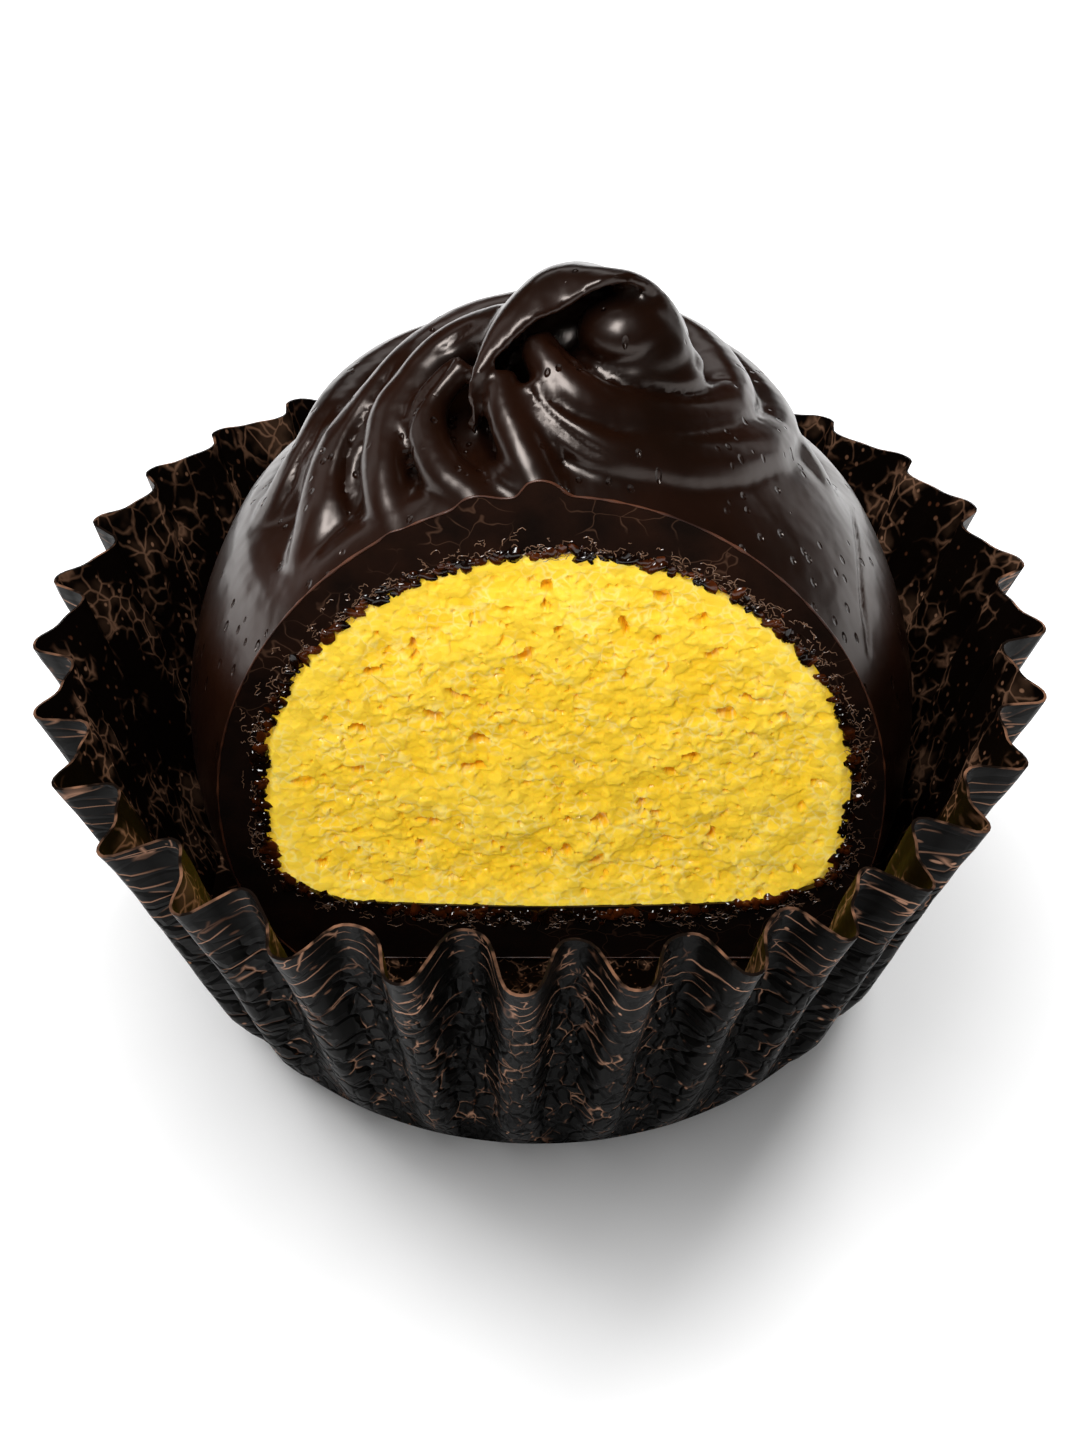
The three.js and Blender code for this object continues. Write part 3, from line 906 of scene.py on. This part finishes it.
def seam_curls():
    """Hair-thin curls that the knife drew out of the chocolate, thickest along the seam."""
    chance = random.Random(17)
    outline = cream_outline()
    curve = bpy.data.curves.new("seam_curls", "CURVE")
    curve.dimensions = "3D"
    curve.bevel_depth = CURL_THICKNESS / 2
    curve.bevel_resolution = 0
    for _ in range(SEAM_CURLS):
        spot, outwards = outline[chance.randrange(len(outline))]
        away = 0.05 + abs(chance.gauss(0.0, CURL_SPREAD))
        along = Vector((outwards.z, 0, -outwards.x))
        middle = spot + outwards * away
        size = chance.uniform(*CURL_SIZES)
        arc = chance.uniform(*CURL_TURNS)
        first = chance.uniform(0, 2 * math.pi)
        wobble = chance.uniform(0, 9)
        line = curve.splines.new("POLY")
        line.points.add(CURL_STEPS)
        for k, point in enumerate(line.points):
            turn = first + arc * k / CURL_STEPS
            uneven = noise.noise(Vector((turn * 1.6, wobble, 0)))
            reach = size * (1 + CURL_UNEVENNESS * uneven)
            place = middle + along * reach * CURL_LONGER * math.cos(turn)
            place += outwards * reach * math.sin(turn)
            place.y = CUT_Y - CURL_GAP - CURL_STANDS_OUT * abs(math.sin(turn * 2))
            point.co = (place.x, place.y, place.z, 1)
            point.radius = 0.6 + 0.8 * abs(math.sin(turn * 1.3 + wobble))
    curls = put("seam_curls", curve)
    pick(curls)
    bpy.ops.object.convert(target="MESH")
    curls = bpy.context.object
    curls.data.materials.clear()
    curls.data.materials.append(curl_chocolate_material())
    smooth_shaded(curls, 80)
    to_size(curls)
    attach(curls, "root")
    return curls


# ---- cream ----


def cream_material():
    """Moist crumbly cream: bright yellow platelets with painted pale highlights on their rims, each
    tipped its own way, and painted shade that turns it darker and more golden where the face lies
    deeper, in the holes and crevices."""
    material, tree = blank_material("yellow_cream")
    place = object_place(tree)
    face_y = (CUT_Y + SWEET_FORWARD) * MM
    # painted shade: the deeper the face lies behind the cut, in holes and crevices, the darker and
    # more golden its colour
    depth = stretch(tree, coordinate(tree, place, "Y"), face_y, face_y + 1.1 * MM)
    body = ramp(tree, depth, [(0.0, srgb("#fdd545")), (0.35, srgb("#fbcb2e")),
                              (0.6, srgb("#f6be20")), (1.0, srgb("#e4a214"))])
    # platelets of half a millimetre with wavy outlines, drawn out into the sweet
    flat = drawn_out(tree, place, (1.0, 0.3, 1.0))
    bent = warped(tree, flat, 1700.0, 1.0, 0.5 * MM)
    cells = add(tree, "ShaderNodeTexVoronoi", {"Vector": bent, "Scale": 1900.0})
    edges = from_edges(tree, bent, 1900.0)
    patches = clouds(tree, place, 900.0, 1.0)
    # painted highlights: pale lines along the platelet edges, left out in patches
    rim_highlights = product(tree, stretch(tree, edges, 0.0, 0.16, 0.42, 0.0),
                   stretch(tree, patches, 0.42, 0.62))
    # every platelet is tipped by up to ten degrees each way and stands up to 0.04 mm above its
    # neighbours
    own = add(tree, "ShaderNodeVectorMath", {0: cells.outputs["Color"], 1: (0.5, 0.5, 0.5)},
              operation="SUBTRACT").outputs[0]
    reach = add(tree, "ShaderNodeVectorMath", {0: bent, 1: cells.outputs["Position"]},
                operation="SUBTRACT").outputs[0]
    tip = add(tree, "ShaderNodeVectorMath", {0: own, 1: reach}, operation="DOT_PRODUCT")
    level = coordinate(tree, cells.outputs["Color"], "Y")
    height = add(tree, "ShaderNodeMath", {0: product(tree, tip.outputs["Value"], 0.36),
                                          1: product(tree, level, 0.04 * MM)}).outputs[0]
    steps = bump(tree, height, 1.0, 1.0)
    fine = clouds(tree, place, 3600.0, 2.0)
    finish_material(tree, {
        "Base Color": mixed(tree, rim_highlights, body, srgb("#fff0a4")), "Roughness": 0.25, "IOR": 1.42,
        "Subsurface Weight": 0.3, "Subsurface Radius": (1.0, 0.6, 0.12),
        "Subsurface Scale": 0.5 * MM, "Normal": bump(tree, fine, 0.2, 0.1 * MM, steps)})
    return material


def outline_distance(x, z):
    """How far a point of the cut face is inside the cream's outline, roughly, in millimetres."""
    chord = (CUT_Y - CREAM_CENTRE[1]) / COAT_DEPTH
    radius = cream_radius_at(min(max(z, CREAM_BOTTOM + 0.01), CREAM_TOP - 0.01))
    across = math.hypot(x - CREAM_CENTRE[0], chord)
    return min((radius - across), (z - CREAM_BOTTOM - 0.1))


def crumbs_at(x, z):
    """How far the crumbly surface sinks in at a point of the cut face, in millimetres: over slow
    swells lie lumps with crevices between them, and here and there a hole or a pore."""
    spot = Vector((x, 3.7, z))
    swell = 0.20 * noise.noise(spot * 0.33) + 0.12 * noise.noise(spot * 0.9)
    spot += noise.noise_vector(spot * 2.3) * 0.16
    gaps, middles = noise.voronoi(spot * LUMPS_TO_MM)
    own = noise.cell(middles[0] * 31.7)
    crevice = 1 - smoothstep(0.0, 0.22, gaps[1] - gaps[0])
    sunk = 0.25 + swell + LUMP_DEPTH * (own + 0.5 * gaps[0] + 0.35 * crevice)
    for to_mm, shift, starts, full, deep in CREAM_HOLES:
        hole = noise.noise(spot * to_mm + Vector((0, shift, 0)))
        sunk += smoothstep(starts, full, hole) * deep
    return sunk


def cream_filling():
    """A slab whose front is the crumbly cut face, trimmed to the cream's dome."""
    # the crumbs lie the same way every time
    noise.seed_set(5)
    bpy.ops.mesh.primitive_grid_add(x_subdivisions=int(FACE_WIDTH / FACE_STEP),
                                    y_subdivisions=int(FACE_HEIGHT / FACE_STEP), size=1,
                                    location=(0, 0, 0))
    slab = bpy.context.object
    upright = Matrix.Rotation(math.pi / 2, 4, "X") @ Matrix.Diagonal((FACE_WIDTH, FACE_HEIGHT, 1, 1))
    middle = (CREAM_CENTRE[0], CUT_Y, (CREAM_BOTTOM + FACE_TOP) / 2)
    slab.data.transform(Matrix.Translation(middle) @ upright)
    for vertex in slab.data.vertices:
        x, z = vertex.co.x, vertex.co.z
        inside = outline_distance(x, z)
        if inside > -FACE_MARGIN:
            calm = min(1.0, max(CALMEST, inside / CALM_WIDTH))
            border = max(0.0, BORDER_WIDTH - inside) * BORDER_SLOPE
            side = noise.noise_vector(Vector((x, 0, z)) * 2.1) * 0.05
            sunk = min(crumbs_at(x, z) * calm + border, FACE_DEEPEST)
            vertex.co += Vector((side.x, sunk, side.z))
    pick(slab)
    bpy.ops.object.mode_set(mode="EDIT")
    bpy.ops.mesh.select_all(action="SELECT")
    bpy.ops.mesh.extrude_region_move(TRANSFORM_OT_translate={"value": (0, SLAB_DEPTH, 0)})
    bpy.ops.mesh.select_all(action="SELECT")
    bpy.ops.mesh.normals_make_consistent(inside=False)
    bpy.ops.object.mode_set(mode="OBJECT")
    body = cream_dome("cream_body", spare=-0.02)
    modify(body, "BOOLEAN", operation="INTERSECT", object=slab, solver="MANIFOLD")
    bpy.data.objects.remove(slab, do_unlink=True)
    body.name = "filling_of_cream"
    body.data.materials.clear()
    body.data.materials.append(cream_material())
    smooth_shaded(body, 60)
    to_size(body)
    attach(body, "root")
    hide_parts("cream_filling")
    return body


# ---- paper case ----


def outside_paper_material():
    """Black satin case paper. Thin copper print runs round below the rim in broken lines, with
    beads and short curls lower down, and a fine embossed crackle gives the lower wall its grain."""
    material, tree = blank_material("case_paper_outside")
    place = sheet_place(tree)
    height = coordinate(tree, place, "Z")
    # the lines wander by about a millimetre over a few millimetres
    wander = clouds(tree, place, 300.0, 2.0)
    wavy = add(tree, "ShaderNodeMath", {0: wander, 1: 3.4 * MM, 2: height},
               operation="MULTIPLY_ADD").outputs[0]
    masks = [line_mask(tree, wavy, line * MM, COPPER_LINE_HALF_WIDTH * MM) for line in COPPER_LINES]
    lines = masks[0]
    for mask in masks[1:]:
        lines = larger(tree, lines, mask)
    # the breaks between the printed strokes are 1 to 3 mm apart
    breaks = clouds(tree, place, 800.0, 1.0)
    lines = product(tree, lines, stretch(tree, breaks, 0.43, 0.50))
    # crackle: warped cells about a millimetre wide; their edges are pressed in, some are printed
    cells = from_edges(tree, warped(tree, place, 500.0, 2.0, 1.6 * MM), 900.0)
    curls = product(tree, stretch(tree, cells, 0.0, 0.05, 0.8, 0.0),
                    stretch(tree, clouds(tree, place, 620.0, 1.0), 0.55, 0.62))
    # beads up to a quarter of a millimetre wide
    beads = stretch(tree, from_middles(tree, place, 1150.0), 0.08, 0.14, 0.9, 0.0)
    printed = larger(tree, lines, larger(tree, curls, beads))
    copper = ramp(tree, breaks, [(0.4, srgb("#5e4030")), (0.62, srgb("#c09074"))])
    lower = stretch(tree, height, 11.5 * MM, 14.5 * MM, 1.0, 0.15)
    grain = product(tree, stretch(tree, cells, 0.0, 0.22), lower)
    finish_material(tree, {
        "Base Color": mixed(tree, printed, srgb("#080706"), copper), "Roughness": 0.38, "IOR": 1.16,
        "Normal": bump(tree, grain, 0.8, 0.22 * MM)})
    return material


def inside_paper_material():
    """The inside of the paper: brown black and duller, with a net of fine copper veins that comes
    and goes, faint blots and small dots."""
    material, tree = blank_material("case_paper_inside")
    place = sheet_place(tree)
    # the net's cells are about a millimetre wide
    cells = from_edges(tree, warped(tree, place, 420.0, 3.0, 1.6 * MM), 900.0)
    patches = clouds(tree, place, 330.0, 3.0)
    veins = product(tree, stretch(tree, cells, 0.0, 0.09, 0.75, 0.0),
                    stretch(tree, patches, 0.46, 0.60))
    blots = stretch(tree, patches, 0.56, 0.8, 0.0, 0.3)
    dots = stretch(tree, from_middles(tree, place, 1200.0), 0.1, 0.18, 1.0, 0.0)
    marble = larger(tree, larger(tree, veins, blots), dots)
    copper = ramp(tree, patches, [(0.4, srgb("#5a3422")), (0.65, srgb("#b88a6c"))])
    finish_material(tree, {
        "Base Color": mixed(tree, marble, srgb("#0f0805"), copper), "Roughness": 0.6, "IOR": 1.2,
        "Specular IOR Level": 0.2, "Normal": bump(tree, patches, 0.4, 0.5 * MM)})
    return material


def edge_paper_material():
    """The cut edge of the case paper, where the copper print catches the light."""
    material, tree = blank_material("case_paper_edge")
    beads = clouds(tree, object_place(tree), 900.0, 2.0)
    colour = ramp(tree, beads, [(0.46, srgb("#1c120c")), (0.68, srgb("#9a6c50"))])
    finish_material(tree, {"Base Color": colour, "Roughness": 0.4, "IOR": 1.5})
    return material


def fold_unevenness(angle):
    """How far the folds at this angle stand out or in at the rim."""
    return FOLD_UNEVENNESS * (math.sin(2 * angle + 1.1) + 0.6 * math.sin(5 * angle + 0.4))


def wall_at(height):
    """The radius of the outer folds and the share of the fold depth at a height."""
    for (z0, r0, d0), (z1, r1, d1) in zip(WALL, WALL[1:]):
        if height <= z1:
            t = (height - z0) / (z1 - z0)
            return r0 + (r1 - r0) * t, d0 + (d1 - d0) * t
    return WALL[-1][1:]


def leaning(turn, side):
    """The folds at the sides lean towards the front: their front flank is the short one."""
    lean = FOLD_LEAN * max(-1.0, min(1.0, 1.6 * side))
    shift = math.copysign(FOLD_LEAN_SHIFT, lean)
    return turn + abs(lean) * (math.sin(turn + shift) - math.sin(shift))


def pleat(spot):
    """Where a point of the plain round wall goes when the paper is pleated."""
    angle = math.atan2(spot.y, spot.x)
    rise = min(max(spot.z / CASE_HEIGHT, 0), 1)
    outer, share = wall_at(spot.z)
    depth = (FOLD_DEPTH - FRONT_FOLDS_DEEPER * math.sin(angle)) * share
    depth += HIDDEN_FOLDS_DEEPER * smoothstep(*HIDDEN_FOLDS_FROM, math.sin(angle)) * share
    depth *= 1 + 0.08 * math.sin(7 * angle + 0.5) + 0.06 * math.sin(11 * angle + 2.0)
    wave = math.cos(leaning(FLUTES * (angle - FIRST_FOLD), math.cos(angle)))
    wave *= math.sqrt((1 + FOLD_SQUARENESS) / (FOLD_SQUARENESS + wave * wave))
    radius = outer - depth / 2 * (1 - wave) + fold_unevenness(angle) * rise
    radius += noise.noise(spot * 0.45) * CRUMPLE * rise
    turned_to = angle + FOLD_CROWDING * math.cos(2 * (angle - CROWDING_TURN)) * rise
    turned_to += noise.noise(spot * 0.3 + Vector((7, 0, 0))) * TWIST * rise
    lift = RIM_WAVE * rise * rise * math.sin(3 * angle + 0.7)
    return Vector((radius * math.cos(turned_to), radius * math.sin(turned_to), spot.z + lift))


def paper_case():
    """One round sheet of paper: a flat floor, and a wall drawn up from it and pleated."""
    radius, height = CASE_FLOOR_RADIUS - FLOOR_CORNER, 0.0
    bpy.ops.mesh.primitive_circle_add(vertices=FLUTES * COLUMNS_TO_A_FOLD, radius=radius,
                                      fill_type="NGON", location=(0, 0, 0),
                                      rotation=(0, 0, FIRST_FOLD))
    case = bpy.context.object
    case.name = "fluted_case"
    bpy.ops.object.transform_apply(rotation=True)
    bpy.ops.object.mode_set(mode="EDIT")
    bpy.ops.mesh.select_all(action="SELECT")
    bpy.ops.mesh.region_to_loop()
    steps = [(CASE_FLOOR_RADIUS - 1.2, 0.0), (CASE_FLOOR_RADIUS - 0.3, 0.03),
             (CASE_FLOOR_RADIUS, 0.2)]
    steps += [(CASE_FLOOR_RADIUS + 3 * row / WALL_ROWS, CASE_HEIGHT * row / WALL_ROWS)
              for row in range(1, WALL_ROWS + 1)]
    for next_radius, next_height in steps:
        bpy.ops.mesh.extrude_edges_move(
            TRANSFORM_OT_translate={"value": (0, 0, next_height - height)})
        grow = next_radius / radius
        bpy.ops.transform.resize(value=(grow, grow, 1), center_override=(0, 0, 0))
        radius, height = next_radius, next_height
    bpy.ops.mesh.select_all(action="SELECT")
    bpy.ops.mesh.normals_make_consistent(inside=False)
    bpy.ops.object.mode_set(mode="OBJECT")
    # the print lies on the paper as it was before it was pleated
    sheet = case.data.attributes.new("sheet", "FLOAT_VECTOR", "POINT")
    for vertex, place in zip(case.data.vertices, sheet.data):
        outwards = Vector((vertex.co.x, vertex.co.y, 0))
        unrolled = SHEET_RADIUS - max(CASE_FLOOR_RADIUS - outwards.length, 0)
        place.vector = (outwards.normalized() * unrolled + Vector((0, 0, vertex.co.z))) * MM
        if vertex.co.z > 0.01:
            vertex.co = pleat(vertex.co)
    case.data.materials.append(outside_paper_material())
    case.data.materials.append(inside_paper_material())
    case.data.materials.append(edge_paper_material())
    modify(case, "SOLIDIFY", thickness=PAPER, offset=-1, use_even_offset=False, material_offset=1,
           material_offset_rim=2)
    smooth_shaded(case, 70)
    to_size(case, in_case=False)
    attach(case, "root")
    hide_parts("paper_case")
    return case


# ---- stage, light and camera ----


def floor():
    """A plain matt white sweep."""
    bpy.ops.mesh.primitive_plane_add(size=3.0, location=(0, 0, 0))
    sheet = bpy.context.object
    sheet.name = "floor"
    material, tree = blank_material("white_sweep")
    finish_material(tree, {"Base Color": (0.9, 0.9, 0.9, 1), "Roughness": 0.9, "IOR": 1.3})
    sheet.data.materials.append(material)
    return sheet


def soft_box(name, place, size, power, glossy=True, diffuse=True, only=None, shaded_by=None):
    """A soft box that looks at the sweet. It can light some pieces alone, and can be shaded by
    some alone."""
    lamp = bpy.data.lights.new(name, "AREA")
    lamp.shape = "RECTANGLE"
    lamp.size, lamp.size_y = size
    lamp.energy = power
    box = put(name, lamp)
    box.location = place
    aim = Vector((0, 0, 15 * MM)) - Vector(place)
    box.rotation_euler = aim.to_track_quat("-Z", "Y").to_euler()
    box.visible_glossy = glossy
    box.visible_diffuse = diffuse
    if only:
        box.light_linking.receiver_collection = group(name + "_pieces", only)
    if shaded_by:
        box.light_linking.blocker_collection = group(name + "_shades", shaded_by)


def group(name, pieces):
    collection = bpy.data.collections.new(name)
    for piece in pieces:
        collection.objects.link(piece)
    return collection


def lights(coat, cream, sheet):
    """A white room and an overhead box for all, and boxes for the floor, the gloss on the
    chocolate and the cream."""
    world = bpy.data.worlds.new("studio")
    world.use_nodes = True
    background = world.node_tree.nodes["Background"]
    background.inputs["Color"].default_value = (1, 1, 1, 1)
    background.inputs["Strength"].default_value = 0.5
    world.cycles_visibility.glossy = False
    bpy.context.scene.world = world
    soft_box("overhead_box", (-0.12, 0.08, 0.50), (0.5, 0.5), 2.0, glossy=False)
    soft_box("left_floor_box", (-0.33, 0.22, 0.24), (0.2, 0.2), 1.7, glossy=False, only=sheet)
    soft_box("right_floor_box", (0.28, 0.46, 0.24), (0.2, 0.2), 4.4, glossy=False, only=sheet)
    soft_box("left_box", (-0.34, 0.10, 0.22), (0.13, 0.32), 0.11, diffuse=False, only=coat)
    soft_box("right_box", (0.38, 0.20, 0.16), (0.10, 0.28), 0.08, diffuse=False, only=coat)
    soft_box("back_box", (-0.04, 0.40, 0.30), (0.30, 0.10), 0.18, diffuse=False, only=coat)
    soft_box("key_box", (-0.15, -0.22, 0.36), (0.14, 0.22), 2.2, diffuse=False, only=coat)
    soft_box("cream_box", (-0.12, -0.28, 0.42), (0.08, 0.08), 1.25, only=cream)
    soft_box("front_fill", (-0.03, -0.14, -0.02), (0.1, 0.1), 0.115, glossy=False, only=cream,
             shaded_by=cream)


def camera():
    """The photograph's viewpoint: 98 mm in front of the case's middle and 98 mm above its
    underside, looking 41 degrees down."""
    view = bpy.data.cameras.new("camera")
    view.sensor_fit = "VERTICAL"
    view.sensor_height = 36.0
    view.lens = 66.4
    view.clip_start = 0.01
    view.clip_end = 10
    eye = put("camera", view)
    eye.location = (0.192 * MM, -98.61 * MM, 98.22 * MM)
    eye.rotation_euler = ((90 - 41.34) * DEGREE, 0, 0)
    bpy.context.scene.camera = eye


camera()
sheet = floor()
coat = chocolate_coat()
cream = cream_filling()
case = paper_case()
trim = [edge_burr(coat), seam_crumbs(), seam_curls()]
lights([coat] + trim, [cream], [sheet])

bpy.context.scene.view_settings.view_transform = "Standard"
